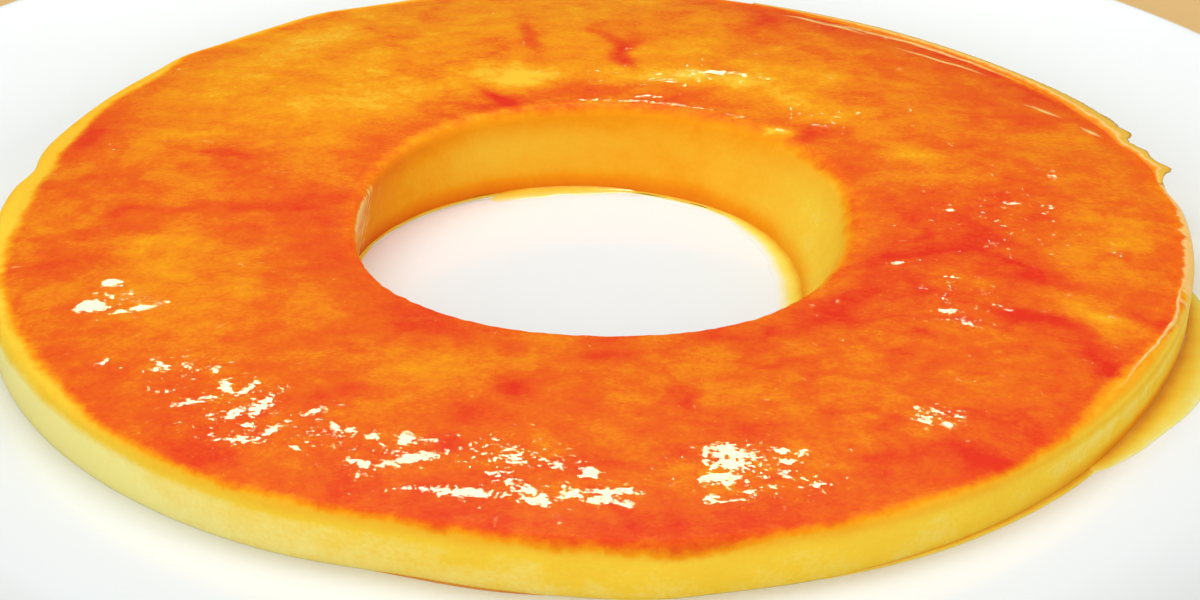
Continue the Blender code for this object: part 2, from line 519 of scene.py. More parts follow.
def graded(start, end, edge_step, middle_step):
    """Radii from start to end, closer together near both ends."""
    radii = [start]
    while radii[-1] < end:
        near = min(radii[-1] - start, end - radii[-1])
        radii.append(radii[-1] + blend(edge_step, middle_step, smooth(3 * MM, 12 * MM, near)))
    stretch = (end - start) / (radii[-1] - start)
    return [start + (r - start) * stretch for r in radii]


def custard_section(s):
    """The true ring's closed section: over the top from the hole, down the side, back below, up the hole."""
    tilt = math.atan(crown_slope(s, s.outer_radius - s.shoulder))
    outer = s.outer_radius - s.shoulder * (1.0 - math.sin(tilt))
    inner = s.hole_radius + s.hole_shoulder
    top = [(r, crown(s, r)) for r in graded(inner, outer, 0.5 * MM, 1.15 * MM)[1:-1]]
    wall_top = crown(s, outer) - s.shoulder * math.cos(tilt)
    hole_top = crown(s, inner) - s.hole_shoulder
    foot = s.foot_rounding
    side = [(s.outer_radius, blend(wall_top, foot, i / 9.0)) for i in range(1, 9)]
    hole_side = [(s.hole_radius, blend(foot, hole_top, i / 13.0)) for i in range(1, 13)]
    base = [(blend(s.outer_radius - foot, s.hole_radius + foot, i / 5.0), 0.0) for i in range(1, 5)]
    return (
        top
        + arc(s.outer_radius - s.shoulder, wall_top, s.shoulder, 90.0 - math.degrees(tilt), 0.0, 9)
        + side
        + arc(s.outer_radius - foot, foot, foot, 0.0, -90.0, 3)
        + base
        + arc(s.hole_radius + foot, foot, foot, -90.0, -180.0, 3)
        + hole_side
        + arc(inner, hole_top, s.hole_shoulder, 180.0, 92.0, 8)
    )


class FLAN_OT_custard(bpy.types.Operator):
    """Makes the custard ring with its uneven outline, its folds and its caramel"""

    bl_idname = "flan.custard"
    bl_label = "Custard ring"

    def execute(self, context):
        s = context.scene.flan_custard
        shape = spin_profile(custard_section(s), True, s.steps)
        well = context.scene.flan_plate.well_height
        layers = add_finish_layers(shape)
        for vertex in shape.verts:
            place = settle(s, vertex.co)
            vertex.co = place.point + Vector((s.centre_x, s.centre_y, well + 0.02 * MM))
            for layer, value in zip(layers, finish_at(place)):
                vertex[layer] = value
        custard = add_piece(shape, "custard_ring", custard_material(s))
        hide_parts("custard")
        return {"FINISHED"}


class Place:
    """Where a point of the true ring lies on the settled custard."""

    def __init__(self, point, angle, radius, up, past_edge, past_hole):
        self.point = point
        self.angle = angle
        self.radius = radius
        self.up = up
        self.past_edge = past_edge
        self.past_hole = past_hole


def settle(s, point):
    """Moves a point of the true ring to where the soft, uneven custard has it."""
    angle = math.atan2(point.y, point.x)
    degrees = math.degrees(angle)
    radius = math.hypot(point.x, point.y)
    across = (radius - s.hole_radius) / (s.outer_radius - s.hole_radius)
    near_hole = (1.0 - across) ** 2
    near_edge = across**2
    full = crown(s, radius)
    up = min(1.0, max(0.0, point.z / full))
    outward = wander(OUTER_WANDER, angle) - OUTER_LEAN * (1.0 - up)
    for at, half_width, depth in WALL_DENTS:
        outward -= depth * hump(turn_between(degrees, at) / half_width)
    settled = radius + near_edge * outward
    settled += near_hole * (wander(HOLE_WANDER, angle) - HOLE_LEAN * (1.0 - up))
    fray = noise.noise(Vector((point.x * 420.0, point.y * 420.0, 9.0)))
    settled += HOLE_FRAY * fray * near_hole**4 * up**4 * smooth(0.0, -0.7, math.sin(angle))
    settled -= HOLE_LEFT_BULGE * near_hole * hump(turn_between(degrees, 182.0) / 24.0)
    shift = near_hole * (HOLE_TOP_SHIFT * up + HOLE_FOOT_SHIFT * (1.0 - up))
    x = settled * math.cos(angle) + shift.x
    y = settled * math.sin(angle) + shift.y
    z = point.z + up * up * (wander(TOP_WANDER, angle) + relief(s, x, y))
    drop = max(0.0, full - point.z)
    past_edge = radius - s.outer_radius + drop
    past_hole = s.hole_radius - radius + drop
    return Place(Vector((x, y, z)), degrees, radius, up, past_edge, past_hole)


def relief(s, x, y):
    """Height of the top's waves at a place."""
    slow = noise.noise(Vector((x * 32.0, y * 42.0, 1.7)))
    quick = noise.noise(Vector((x * 105.0, y * 140.0, 5.3)))
    return s.swell * slow + s.ripple * quick


# Facets where the folded syrup leans towards the eater and mirrors the window behind, in millimetres:
# (x, y, half length, half width, lean in degrees)
SYRUP_FACETS = (
    (-95, -35, 3.5, 2.8, -12),
    (-89, -38, 2.6, 0.7, -3),
    (-85, -37, 2.4, 1.0, 26),
    (-81, -36, 1.2, 0.5, 0),
    (-92, -26, 1.8, 1.8, -9),
    (-92, -31, 1.2, 0.5, -45),
    (-91, -56, 1.2, 0.6, 30),
    (-80, -59, 2.2, 0.9, -53),
    (-69, -62, 1.8, 0.7, 69),
    (-67, -68, 2.0, 1.4, -67),
    (-64, -70, 2.6, 0.9, 15),
    (-62, -68, 1.2, 1.2, -41),
    (-56, -69, 0.9, 0.8, 0),
    (-73, -72, 3.2, 1.0, 7),
    (-79, -68, 2.0, 0.4, -8),
    (-65, -78, 2.2, 1.6, 54),
    (-62, -76, 2.0, 0.9, 8),
    (-60, -75, 3.6, 1.7, 61),
    (-63, -86, 3.6, 0.9, -7),
    (-58, -84, 2.8, 1.0, 50),
    (-62, -82, 1.2, 0.7, 20),
    (-50, -78, 1.6, 0.8, 31),
    (-46, -83, 1.5, 0.8, -69),
    (-44, -85, 1.5, 0.8, 19),
    (-53, -90, 1.3, 0.9, 14),
    (-39, -87, 1.2, 1.1, 20),
    (-33, -88, 1.8, 1.8, 0),
    (-29, -89, 1.6, 1.0, 0),
    (-35, -92, 1.0, 0.6, 0),
    (-34, -95, 5.0, 0.8, 16),
    (-31, -94, 6.0, 1.3, 14),
    (-27, -93, 3.0, 0.9, 20),
    (-41, -95, 2.3, 0.8, -19),
    (-41, -99, 1.8, 0.8, 0),
    (-20, -90, 2.4, 0.5, 23),
    (-13, -95, 2.9, 0.5, 65),
    (-30, -103, 4.5, 0.6, 2),
    (-26, -104, 5.5, 1.2, -10),
    (-20, -105, 5.0, 1.3, -4),
    (-15, -102, 3.0, 0.9, -48),
    (-11, -105, 1.8, 1.5, -30),
    (-10, -108, 2.4, 1.3, -9),
    (-8, -107, 1.8, 1.8, 0),
    (-3, -106, 3.4, 1.1, 5),
    (3, -105, 3.2, 1.5, 7),
    (7, -105, 1.7, 0.8, -13),
    (2, -108, 2.6, 1.2, 7),
    (7, -109, 1.6, 1.0, 0),
    (-6, -97, 1.5, 1.1, 0),
    (0, -99, 2.0, 1.5, 35),
    (25, -91, 3.4, 1.2, 0),
    (26, -93, 5.2, 1.4, 0),
    (25, -96, 4.6, 1.5, 0),
    (24, -100, 4.0, 1.5, 0),
    (25, -102, 1.7, 0.9, 0),
    (35, -91, 1.8, 1.1, 20),
    (36, -94, 1.6, 0.8, 0),
    (39, -92, 1.3, 0.8, 42),
    (33, -102, 1.0, 0.7, -12),
    (41, -101, 1.3, 0.8, 0),
    (35, -98, 0.8, 0.9, -30),
    (22, -107, 1.1, 0.9, 0),
    (26, -107, 2.6, 0.4, 6),
    (29, -104, 1.2, 0.8, -25),
    (64, -76, 1.5, 0.8, -34),
    (62, -79, 1.4, 0.8, -80),
    (66, -80, 1.5, 0.8, -33),
    (69, -78, 0.9, 0.6, 0),
    (61, -75, 0.6, 0.6, 0),
    (13, 55, 1.6, 0.5, 0),
    (26, 67, 3.6, 0.6, -6),
    (33, 66, 1.4, 0.6, 0),
    (38, 39, 1.6, 0.7, 0),
    (71, 2, 0.9, 0.5, 0),
    (84, 6, 1.2, 0.5, 15),
    (92, 5, 1.5, 0.5, -30),
    (93, 19, 1.0, 0.6, 0),
    (60, -20, 1.2, 0.7, 0),
    (69, -40, 1.8, 0.6, 10),
    (72, -44, 1.8, 0.6, -35),
    (80, -38, 1.6, 0.5, -35),
    (70, -26, 0.9, 0.6, 0),
)

# Patches that glitter with specks, in millimetres: (x, y, half width, half depth, how near to facets)
GLITTER = (
    (-88, -33, 7, 5, 0.58),
    (-77, -61, 9, 7, 0.58),
    (-64, -78, 12, 10, 0.62),
    (-48, -86, 10, 7, 0.58),
    (-36, -93, 12, 7, 0.60),
    (-14, -94, 12, 6, 0.74),
    (-8, -104, 18, 5, 0.55),
    (27, -97, 13, 9, 0.64),
    (40, -99, 8, 6, 0.58),
    (65, -78, 7, 5, 0.66),
    (20, 65, 20, 6, 0.55),
    (80, -5, 22, 24, 0.28),
    (70, -35, 18, 14, 0.34),
    (48, 44, 12, 10, 0.40),
)
SPECK_FREE = -1.5
FACET_BEND = 1.0

# The beaded line along the hole's rim: (middle angle, half turn, place past the hole's edge, half width)
RIM_LINE = (76.0, 19.0, -3.2, -0.12)


def facet_depth(place):
    """How far inside a facet's edge a place lies, in millimetres; negative outside."""
    x, y = place.point.x / MM, place.point.y / MM
    bend = noise.noise_vector(Vector((x * 0.26, y * 0.30, 2.0)))
    x += FACET_BEND * bend.x
    y += FACET_BEND * bend.y
    inside = SPECK_FREE
    for at_x, at_y, half_width, half_depth, near in GLITTER:
        aside, away = (x - at_x) / half_width, (y - at_y) / half_depth
        inside = max(inside, SPECK_FREE * (1.0 - near * math.exp(-aside * aside - away * away)))
    for at_x, at_y, half_length, half_width, lean in SYRUP_FACETS:
        dx, dy = x - at_x, y - at_y
        if abs(dx) + abs(dy) > 16.0:
            continue
        c, n = math.cos(math.radians(lean)), math.sin(math.radians(lean))
        reach = math.hypot((dx * c + dy * n) / half_length, (dy * c - dx * n) / half_width)
        inside = max(inside, (0.9 - reach) * (half_width + 0.4))
    middle, half_turn, line, half_line = RIM_LINE
    if abs(turn_between(place.angle, middle)) < half_turn:
        inside = max(inside, half_line - abs(place.past_hole / MM - line))
    return inside


# Fields where the caramel lies deeper or thinner:
# (angle, radius, half width in degrees, half depth, change)
CARAMEL_FIELDS = (
    (95.0, 66 * MM, 42.0, 7 * MM, -0.21),
    (122.0, 92 * MM, 36.0, 22 * MM, -0.17),
    (62.0, 84 * MM, 22.0, 12 * MM, -0.08),
    (-160.0, 92 * MM, 18.0, 12 * MM, -0.13),
    (-98.0, 115 * MM, 46.0, 7 * MM, 0.17),
    (-48.0, 114 * MM, 22.0, 10 * MM, 0.06),
    (-18.0, 76 * MM, 24.0, 22 * MM, 0.10),
    (-140.0, 107 * MM, 12.0, 7 * MM, 0.10),
    (-155.0, 55 * MM, 50.0, 6 * MM, 0.10),
    (0.0, 107 * MM, 14.0, 8 * MM, -0.09),
    (-102.0, 80 * MM, 12.0, 9 * MM, 0.08),
    (40.0, 112 * MM, 16.0, 5 * MM, 0.08),
    (105.0, 110 * MM, 26.0, 6 * MM, -0.12),
    (50.0, 68 * MM, 20.0, 9 * MM, -0.20),
    (60.0, 84 * MM, 20.0, 8 * MM, -0.10),
    (130.0, 100 * MM, 22.0, 12 * MM, -0.11),
    (143.0, 72 * MM, 18.0, 10 * MM, -0.12),
    (-120.0, 55 * MM, 12.0, 6 * MM, 0.13),
    (-100.0, 54 * MM, 8.0, 4 * MM, -0.08),
    (-20.0, 65 * MM, 14.0, 7 * MM, 0.15),
    (-42.0, 60 * MM, 13.0, 9 * MM, 0.09),
    (180.0, 61 * MM, 16.0, 9 * MM, 0.11),
    (180.0, 92 * MM, 10.0, 8 * MM, 0.06),
    (-120.0, 93 * MM, 10.0, 8 * MM, 0.08),
    (160.0, 78 * MM, 10.0, 8 * MM, 0.11),
    (165.0, 112 * MM, 10.0, 6 * MM, -0.06),
    (20.0, 54 * MM, 12.0, 4 * MM, 0.12),
    (62.0, 112 * MM, 14.0, 5 * MM, 0.12),
    (45.0, 115.5 * MM, 26.0, 2.5 * MM, 0.15),
    (-80.0, 91 * MM, 9.0, 7 * MM, 0.12),
    (-60.0, 103 * MM, 9.0, 6 * MM, 0.06),
    (-100.0, 104 * MM, 9.0, 6 * MM, 0.10),
    (50.0, 66 * MM, 16.0, 6 * MM, -0.06),
    (85.0, 79 * MM, 16.0, 6 * MM, -0.10),
    (92.0, 101 * MM, 16.0, 7 * MM, -0.09),
    (-168.0, 103 * MM, 9.0, 6 * MM, 0.07),
    (-155.0, 92 * MM, 12.0, 9 * MM, 0.06),
    (98.0, 54 * MM, 7.0, 3 * MM, -0.10),
    (10.0, 54 * MM, 14.0, 6 * MM, -0.05),
    (-145.0, 80 * MM, 10.0, 8 * MM, 0.03),
    (95.0, 51 * MM, 48.0, 2 * MM, -0.12),
    (120.0, 55 * MM, 18.0, 4 * MM, 0.09),
    (140.0, 112 * MM, 10.0, 4 * MM, 0.10),
    (140.0, 50.5 * MM, 30.0, 2 * MM, -0.14),
    (-120.0, 103 * MM, 9.0, 5 * MM, 0.03),
    (-160.0, 104 * MM, 9.0, 5 * MM, 0.03),
    (-80.0, 103 * MM, 9.0, 5 * MM, -0.03),
    (92.0, 66 * MM, 16.0, 6 * MM, 0.05),
    (80.0, 54 * MM, 10.0, 4 * MM, 0.07),
    (20.0, 79 * MM, 9.0, 7 * MM, 0.07),
    (-22.0, 104 * MM, 9.0, 5 * MM, 0.07),
    (158.0, 102 * MM, 9.0, 5 * MM, 0.07),
)

# Spots and streaks where the caramel is deeper or thinner:
# (x, y, half length, half width, lean in degrees, change)
CARAMEL_MARKS = (
    (-12 * MM, 87 * MM, 11.0 * MM, 2.4 * MM, -80.0, 0.36),
    (5 * MM, 84 * MM, 8.0 * MM, 2.0 * MM, -68.0, 0.30),
    (9 * MM, 82 * MM, 5.0 * MM, 2.0 * MM, 62.0, 0.34),
    (8 * MM, 73 * MM, 6.0 * MM, 2.0 * MM, -75.0, 0.36),
    (-18 * MM, 52 * MM, 6.0 * MM, 2.2 * MM, -48.0, 0.44),
    (46 * MM, 37 * MM, 7.0 * MM, 3.5 * MM, 30.0, 0.36),
    (-70 * MM, 27 * MM, 5.0 * MM, 2.4 * MM, -20.0, 0.26),
    (-71 * MM, 4 * MM, 14.0 * MM, 2.2 * MM, -5.0, 0.26),
    (-102 * MM, 43 * MM, 10.0 * MM, 4.0 * MM, 65.0, 0.26),
    (4 * MM, -58 * MM, 7.0 * MM, 2.8 * MM, 8.0, 0.26),
    (-14 * MM, -71 * MM, 5.0 * MM, 3.5 * MM, 30.0, 0.31),
    (-22 * MM, -80 * MM, 3.5 * MM, 3.5 * MM, 30.0, 0.23),
    (-26 * MM, -88 * MM, 3.5 * MM, 4.0 * MM, 0.0, 0.26),
    (18 * MM, -75 * MM, 5.0 * MM, 2.6 * MM, 80.0, 0.29),
    (30 * MM, -85 * MM, 5.0 * MM, 3.5 * MM, 0.0, 0.21),
    (61 * MM, -18 * MM, 14.0 * MM, 2.2 * MM, 22.0, 0.23),
    (86 * MM, -23 * MM, 15.0 * MM, 3.0 * MM, -36.0, 0.23),
    (86 * MM, -41 * MM, 8.0 * MM, 2.6 * MM, -8.0, 0.28),
    (97 * MM, -54 * MM, 9.0 * MM, 3.0 * MM, -66.0, 0.34),
    (30 * MM, -50 * MM, 12.0 * MM, 2.6 * MM, 18.0, 0.18),
    (48 * MM, -38 * MM, 11.0 * MM, 2.6 * MM, 48.0, 0.18),
    (72 * MM, -91 * MM, 3.5 * MM, 2.4 * MM, 25.0, 0.22),
    (56 * MM, -91 * MM, 6.0 * MM, 3.0 * MM, 10.0, 0.16),
    (113 * MM, -38 * MM, 6.0 * MM, 3.0 * MM, 70.0, 0.26),
    (-44 * MM, -70 * MM, 5.0 * MM, 2.4 * MM, 25.0, 0.18),
    (-14 * MM, 64 * MM, 8.0 * MM, 5.5 * MM, 0.0, -0.34),
    (20 * MM, 65 * MM, 15.0 * MM, 4.0 * MM, -6.0, -0.30),
    (39 * MM, 38 * MM, 5.0 * MM, 2.4 * MM, -10.0, -0.44),
    (66 * MM, 27 * MM, 7.0 * MM, 3.5 * MM, 0.0, -0.21),
    (97 * MM, -37 * MM, 6.0 * MM, 5.0 * MM, -30.0, -0.36),
    (-53 * MM, 53 * MM, 12.0 * MM, 7.0 * MM, 20.0, -0.13),
    (-83 * MM, -10 * MM, 8.0 * MM, 3.5 * MM, 0.0, -0.16),
    (-30 * MM, -62 * MM, 12.0 * MM, 7.0 * MM, 10.0, -0.13),
    (54 * MM, -7 * MM, 5.0 * MM, 3.5 * MM, 0.0, -0.16),
    (8 * MM, -76 * MM, 6.0 * MM, 3.5 * MM, 0.0, -0.16),
    (50 * MM, -86 * MM, 6.0 * MM, 4.5 * MM, 0.0, -0.13),
    (78 * MM, -33 * MM, 8.0 * MM, 3.0 * MM, -30.0, -0.13),
)

# How far the caramel stops short of the outer edge: (angle, half width in degrees, distance)
CARAMEL_STOPS = (
    (171.0, 13.0, 5.4 * MM),
    (156.0, 9.0, 3.2 * MM),
    (143.0, 6.0, 3.6 * MM),
    (-160.0, 17.0, 3.4 * MM),
    (-29.0, 11.0, 3.0 * MM),
    (126.0, 12.0, 2.6 * MM),
    (106.0, 12.0, 2.4 * MM),
    (62.0, 14.0, 2.0 * MM),
    (35.0, 12.0, 2.8 * MM),
    (-81.0, 6.0, -3.0 * MM),
    (-95.0, 9.0, -1.0 * MM),
)
CARAMEL_STOP = 0.6 * MM

# Where light comes through a thin edge: (angle, half width in degrees, how far in from the edge)
THIN_EDGES = ((-1.0, 15.0, 3.8 * MM), (22.0, 7.0, 3.0 * MM))

FINISH_LAYERS = ("caramel", "side", "cover", "wet", "facet", "cream")


def add_finish_layers(shape):
    return [shape.verts.layers.float.new(name) for name in FINISH_LAYERS]


def finish_at(place):
    """The values of the finish layers at a place, in their order."""
    cover = caramel_cover(place)
    return (
        caramel_depth(place),
        side_depth(place),
        cover / MM,
        wetness(place),
        facet_depth(place),
        creaminess(place),
    )


def caramel_cover(place):
    """How far a place lies inside the caramel's edge, measured along the surface."""
    stop = CARAMEL_STOP
    for at, half_width, distance in CARAMEL_STOPS:
        stop += distance * hump(turn_between(place.angle, at) / half_width)
    crisp = 1.0 + 0.8 * hump(turn_between(place.angle, 135.0) / 45.0)
    return crisp * min(-place.past_edge - stop, -place.past_hole + 0.2 * MM)


def caramel_depth(place):
    """How deep the caramel is, from 0 for pale custard to 1 for the darkest red."""
    x, y = place.point.x, place.point.y
    depth = 0.64
    for at, ring, half_angle, half_depth, change in CARAMEL_FIELDS:
        aside = turn_between(place.angle, at) / half_angle
        across = (place.radius - ring) / half_depth
        depth += change * math.exp(-aside * aside - across * across)
    bend_x = x + 2.2 * MM * noise.noise(Vector((x * 140.0, y * 140.0, 4.0)))
    bend_y = y + 2.2 * MM * noise.noise(Vector((x * 140.0, y * 140.0, 8.0)))
    for at_x, at_y, half_length, half_width, lean, change in CARAMEL_MARKS:
        dx, dy = bend_x - at_x, bend_y - at_y
        if abs(dx) + abs(dy) > 50 * MM:
            continue
        c, n = math.cos(math.radians(lean)), math.sin(math.radians(lean))
        along = (dx * c + dy * n) / half_length
        aside = (dy * c - dx * n) / half_width
        depth += change * math.exp(-along * along - aside * aside)
    return depth


def side_depth(place):
    """How deep the colour is on the walls: the custard's own colour, with painted shade and painted
    highlights in places.
    """
    if place.past_hole > place.past_edge:
        far_left = hump(turn_between(place.angle, 164.0) / 32.0)
        right = hump(turn_between(place.angle, 8.0) / 34.0)
        depth = 0.31 + 0.11 * smooth(0.58, 0.97, place.up) + 0.22 * smooth(0.28, 0.04, place.up)
        # A paler patch at mid-height on the hole's back wall: a painted highlight.
        hole_wall_painted_highlight = hump(turn_between(place.angle, 116.0) / 20.0) * hump((place.up - 0.55) / 0.28)
        spot = hump(turn_between(place.angle, 168.0) / 5.0) * hump((place.up - 0.62) / 0.15)
        # A deeper colour low on the hole's left tip: painted shadow at the foot of the wall. The spot above
        # it is a real red-brown spot.
        painted_foot_shadow = hump(turn_between(place.angle, 178.0) / 9.0) * smooth(0.35, 0.1, place.up)
        return depth - 0.19 * right + 0.15 * far_left - 0.10 * hole_wall_painted_highlight + 0.3 * max(spot, painted_foot_shadow)
    # The outer wall is painted paler on its left: painted light on the side that the light falls on.
    painted_lit_left = hump(turn_between(place.angle, -160.0) / 42.0)
    back = hump(turn_between(place.angle, 138.0) / 48.0)
    right = hump(turn_between(place.angle, -26.0) / 18.0)
    shoulder = 0.20 * smooth(0.62, 0.98, place.up) * (1.0 - 0.4 * back)
    depth = 0.13 + shoulder - 0.03 * smooth(0.65, 0.1, place.up) - 0.17 * painted_lit_left
    band = 0.36 * smooth(0.36, 0.10, place.up) - 0.07 * hump((place.up - 0.66) / 0.2)
    # A pale line just below the top of the right-front wall: a painted highlight on its upper edge. The band
    # darkens that wall towards its foot.
    painted_rim_highlight = 0.16 * hump((place.up - 0.88) / 0.05)
    return depth + right * (band - painted_rim_highlight)


def wetness(place):
    """How much clear syrup covers a place: all over the top, none on the shoulders and the walls."""
    if place.past_hole > place.past_edge:
        return smooth(2.4 * MM, 3.4 * MM, -place.past_hole)
    return smooth(3.0 * MM, 6.5 * MM, -place.past_edge)


def creaminess(place):
    """Where the edge is thin and pale, from 0 to 1."""
    cream = 0.0
    for at, half_width, reach in THIN_EDGES:
        share = smooth(-reach, -0.3 * reach, place.past_edge) * smooth(4 * MM, 1 * MM, place.past_edge)
        cream = max(cream, share * hump(turn_between(place.angle, at) / half_width))
    tip = smooth(-0.6 * MM, 0.6 * MM, place.past_hole) * hump(turn_between(place.angle, 178.0) / 19.0)
    low = hump(turn_between(place.angle, 163.0) / 9.0) * hump((place.past_hole - 9 * MM) / (2 * MM))
    return max(cream, 0.9 * tip, 0.55 * low)


# Ridge lines near the outer edge, painted pale as highlights on their crests and raised a little by bump:
# (angle at the middle, radius there, half length, half width, lean)
EDGE_RIDGE_HIGHLIGHTS = (
    (56.0, 118.3 * MM, 34 * MM, 0.9 * MM, 0.0),
    (51.0, 113.8 * MM, 30 * MM, 1.1 * MM, -3.4),
    (62.5, 111.8 * MM, 13 * MM, 1.0 * MM, 3.5),
    (46.5, 109.3 * MM, 14 * MM, 0.8 * MM, -9.0),
    (29.5, 108.6 * MM, 6 * MM, 0.8 * MM, -25.0),
    (23.2, 113.0 * MM, 4 * MM, 0.8 * MM, -10.0),
    (-19.0, 117.5 * MM, 32 * MM, 0.45 * MM, 1.0),
)
EDGE_CIRCLE = 115 * MM

# The forward slope of a facet that mirrors the window: its value at the plate's axis and its rise per metre
MIRROR_SLOPE = 0.30
MIRROR_RISE = 0.58


def custard_material(s):
    """Custard and caramel: one run of colours by caramel depth, with blotches, veins, wet gloss and painted
    highlights.
    """
    bench = NodeBench("caramel_custard")
    even = bench.coordinates((1.0, 1.0, 1.0))

    blotches = bench.spread(bench.noise(even, 55.0, detail=5.0, roughness=0.62, distortion=0.4), -0.13, 0.13)
    brushed = bench.coordinates((0.75, 1.0, 1.0), angle=4.0)
    flecks = bench.spread(bench.noise(brushed, 210.0, detail=5.0, roughness=0.66), -0.10, 0.10)
    grain = bench.spread(bench.noise(brushed, 1300.0, detail=2.0), -0.055, 0.055)
    lines = bench.maths("ABSOLUTE", bench.maths("SUBTRACT", bench.noise(brushed, 48.0, detail=4.0), 0.5))
    where = bench.fade(bench.noise(even, 21.0, detail=1.0), 0.46, 0.60, 0.0, 0.10)
    veins = bench.maths("MULTIPLY", bench.fade(lines, 0.060, 0.0), where)
    pattern = bench.maths("ADD", bench.maths("ADD", blotches, flecks), bench.maths("ADD", grain, veins))

    slow_edge = bench.spread(bench.noise(even, 60.0, detail=2.0), -1.1, 1.1)
    ragged = bench.maths("ADD", slow_edge, bench.spread(bench.noise(even, 420.0, detail=3.0), -0.55, 0.55))
    covered = bench.fade(bench.maths("ADD", bench.attribute("cover"), ragged), -1.8, 2.2)
    ragged_facets = bench.ragged_facets(s.tatter)
    # The colour turns paler and yellower in a halo round each glinting facet: a painted highlight fringe
    # round the window's reflections.
    pattern_and_painted_glint_halo = bench.maths("ADD", pattern, bench.fade(ragged_facets, -0.45, 0.0, 0.0, -0.20))
    on_top = bench.maths("MAXIMUM", bench.maths("ADD", bench.attribute("caramel"), pattern_and_painted_glint_halo), 0.19)
    on_side = bench.maths("ADD", bench.attribute("side"), bench.maths("MULTIPLY", pattern, 0.24))
    apart = bench.maths("MULTIPLY", bench.maths("SUBTRACT", on_top, on_side), covered)
    shade = bench.ramp(
        bench.maths("ADD", on_side, apart, clamp=True),
        (
            (0.0, tuple(s.pale)),
            (0.12, tuple(s.yellow)),
            (0.40, tuple(s.amber)),
            (0.67, tuple(s.orange)),
            (0.84, tuple(s.red)),
            (1.0, tuple(s.deep)),
        ),
    )

    round_the_ring = bench.around(s.centre_x, s.centre_y, EDGE_CIRCLE)
    wobble = bench.add("ShaderNodeVectorMath", operation="ADD")
    bench.join(round_the_ring, wobble.inputs[0])
    drift = bench.spread(bench.noise(even, 90.0, detail=2.0), -0.6 * MM, 0.6 * MM)
    bench.join(drift, wobble.inputs[1])
    ridges_and_painted_highlights = 0.0
    for angle, radius, half_length, half_width, lean in EDGE_RIDGE_HIGHLIGHTS:
        along = math.radians(angle) * EDGE_CIRCLE
        line = bench.stroke(wobble.outputs["Vector"], along, radius, half_length, half_width, lean)
        ridges_and_painted_highlights = bench.maths("MAXIMUM", line, ridges_and_painted_highlights)
    frayed = bench.add("ShaderNodeMapping")
    frayed.inputs["Scale"].default_value = (1.0, 0.16, 1.0)
    bench.join(round_the_ring, frayed.inputs["Vector"])
    rays = bench.spread(bench.noise(frayed.outputs["Vector"], 420.0, detail=3.0), -0.34, 0.34)
    spots = bench.spread(bench.noise(even, 330.0, detail=3.0), -0.22, 0.22)
    thin = bench.maths("ADD", bench.attribute("cream"), bench.maths("ADD", rays, spots))
    thin = bench.fade(thin, 0.38, 0.76, 0.0, 0.82)
    broken = bench.spread(bench.noise(even, 500.0, detail=3.0), 0.55, 1.2)
    # pale: the painted highlights on the ridge lines, and the cream layer's pale edges where light comes
    # through a thin edge.
    pale = bench.maths("MAXIMUM", bench.maths("MULTIPLY", ridges_and_painted_highlights, broken), thin, clamp=True)
    bench.set(Base_Color=bench.mix(pale, shade, tuple(s.cream)), Metallic=0.0, IOR=1.4)
    bench.set(Specular_IOR_Level=0.02, Roughness=bench.spread(bench.noise(even, 500.0), 0.36, 0.5))

    skin = bench.bump(bench.noise(even, 520.0, detail=3.0), 0.5, 0.08 * MM)
    folded = bench.fade(ragged_facets, -0.02, 0.04)
    film = bench.bump(bench.noise(brushed, 330.0, detail=2.5, distortion=0.6), 1.0, s.wrinkle, skin)
    bench.set(Normal=bench.bump(ridges_and_painted_highlights, 1.0, 0.1 * MM, skin), Coat_Normal=bench.facets(film, folded))
    gloss = bench.maths("MULTIPLY", bench.attribute("wet"), bench.fade(folded, 0.0, 1.0, s.calm_gloss, 1.0))
    bench.set(Coat_Weight=gloss, Coat_Roughness=0.05, Coat_IOR=1.36)
    bench.set(Subsurface_Weight=0.12, Subsurface_Radius=(1.0, 0.5, 0.15), Subsurface_Scale=3 * MM)
    return bench.material


# ---------------------------------------------------------------------------------------------------------
# Torn skin
# ---------------------------------------------------------------------------------------------------------

# Tips where the skin of caramel sticks out over the edge: (angle, half width in degrees, reach)
SKIN_TIPS = (
    (31.0, 8.0, 0.9 * MM),
    (25.5, 1.6, 0.7 * MM),
    (22.4, 0.9, 2.0 * MM),
    (18.2, 0.9, 0.8 * MM),
    (14.2, 1.0, 2.5 * MM),
)
SKIN_START = 11.0
SKIN_END = 72.0
SKIN_ROOT = 2.4 * MM
SKIN_STEPS = 260


def skin_material(s):
    """The torn skin: caramel at its root, a pale crease that is a painted highlight, then a yellow-brown
    skin darkened by painted shade, darkest at its edge.
    """
    bench = NodeBench("torn_caramel_skin")
    even = bench.coordinates((1.0, 1.0, 1.0))
    mottle = bench.spread(bench.noise(even, 420.0, detail=4.0, roughness=0.65), -0.10, 0.10)
    # In this ramp the crease stop is a painted highlight, the ochre stops are darkened by painted shade, and
    # the last stop is painted shade at the skin's outer edge.
    shade = bench.ramp(
        bench.maths("ADD", bench.attribute("out"), mottle, clamp=True),
        (
            (0.0, tuple(s.orange)),
            (0.28, tuple(s.amber)),
            (0.38, tuple(s.cream)),
            (0.52, tuple(s.ochre)),
            (0.82, tuple(s.ochre)),
            (1.0, tuple(s.ochre_edge_painted_shade)),
        ),
    )
    bench.set(Base_Color=shade, Metallic=0.0, IOR=1.4, Specular_IOR_Level=0.1)
    bench.set(Roughness=bench.spread(bench.noise(even, 600.0), 0.34, 0.5))
    bench.set(Normal=bench.bump(bench.noise(even, 520.0, detail=3.0), 0.5, 0.1 * MM))
    return bench.material


